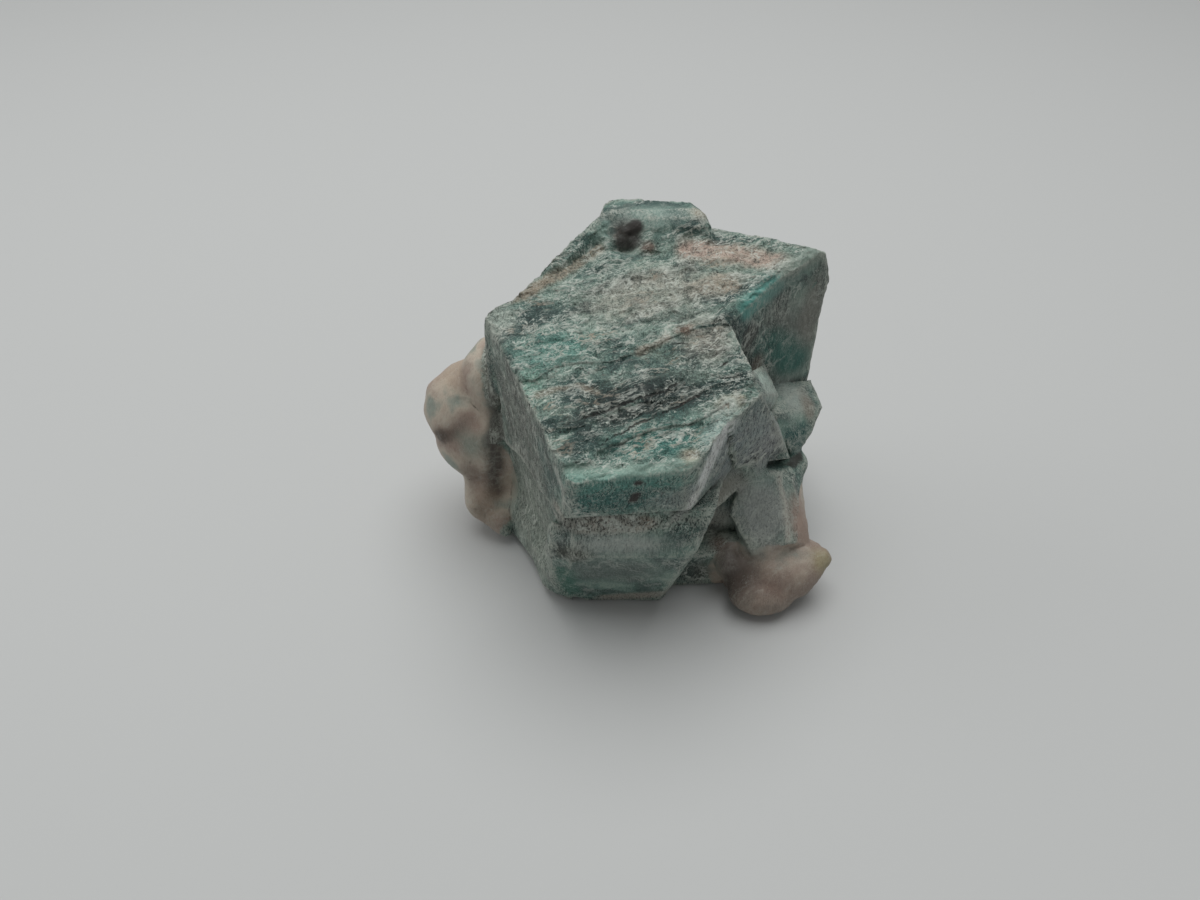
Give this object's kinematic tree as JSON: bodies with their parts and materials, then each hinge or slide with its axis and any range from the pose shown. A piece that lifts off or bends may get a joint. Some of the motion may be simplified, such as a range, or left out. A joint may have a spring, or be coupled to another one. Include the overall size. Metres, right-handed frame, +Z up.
{
  "type": "rough amazonite",
  "caption": "Rough hand specimen of blue-green amazonite: blocky, streaked crystals with a sloping top face and cleavage steps, on lumpy pinkish brown feldspar.",
  "frame": {"origin": "middle of the footprint of the stone's bounding box, on the plane that it rests on", "axes": "+Z up from the resting plane, -Y towards the front, where the broad top face slopes down, +X along its width"},
  "size_m": [0.045, 0.0338, 0.0373],
  "materials": {
    "amazonite": "rough broken and cleaved feldspar, faintly pearly on the flat faces"
  },
  "bodies": {
    "root": {"amazonite": "amazonite"}
  },
  "joints": []
}
